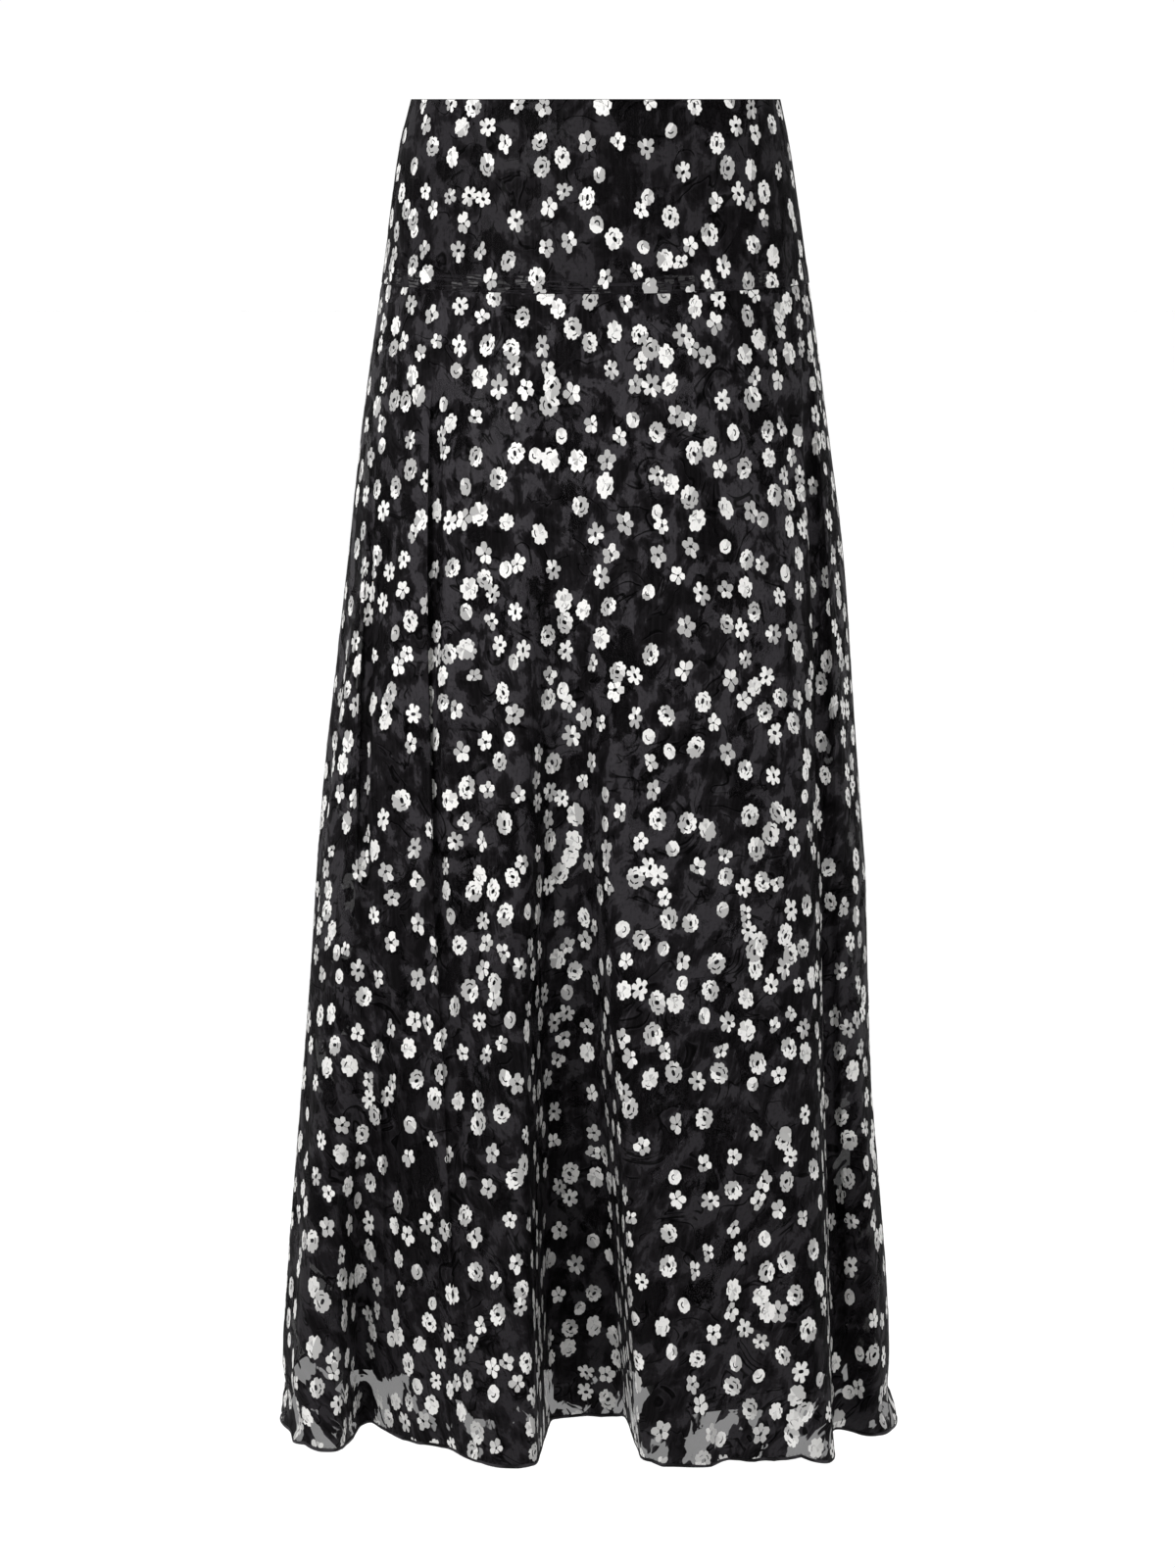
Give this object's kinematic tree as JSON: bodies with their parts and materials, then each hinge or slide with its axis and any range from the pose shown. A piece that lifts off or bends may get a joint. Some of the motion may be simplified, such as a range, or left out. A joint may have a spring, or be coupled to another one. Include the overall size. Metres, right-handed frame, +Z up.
{
  "type": "midi skirt",
  "caption": "Flared midi skirt with a fitted yoke, deep hanging folds and a shorter lining, filled out as worn and hollow, open at the waist and hem, with a concealed zip in the side seam.",
  "frame": {"origin": "centre of the waist opening, level with the waist edge, where the wearer's waist holds the skirt", "axes": "+Z up, with the hem 0.92 m below the origin; the front of the skirt faces -Y; +X is the right-hand side seen from the front, the side of the zip"},
  "size_m": [0.4329, 0.3855, 0.9202],
  "materials": {
    "floral_cloth": "sheer black weave with satin patches and cream woven flowers",
    "lining_cloth": "plain black, slightly silky",
    "zip_tape": "matt black woven tape",
    "zip_metal": "black lacquer"
  },
  "bodies": {
    "root": {"yoke_front": "floral_cloth", "yoke_back": "floral_cloth", "skirt_front": "floral_cloth", "skirt_back": "floral_cloth", "lining_front": "lining_cloth", "lining_back": "lining_cloth", "zip_strip": "zip_tape", "zip_slider": "zip_metal"}
  },
  "joints": []
}
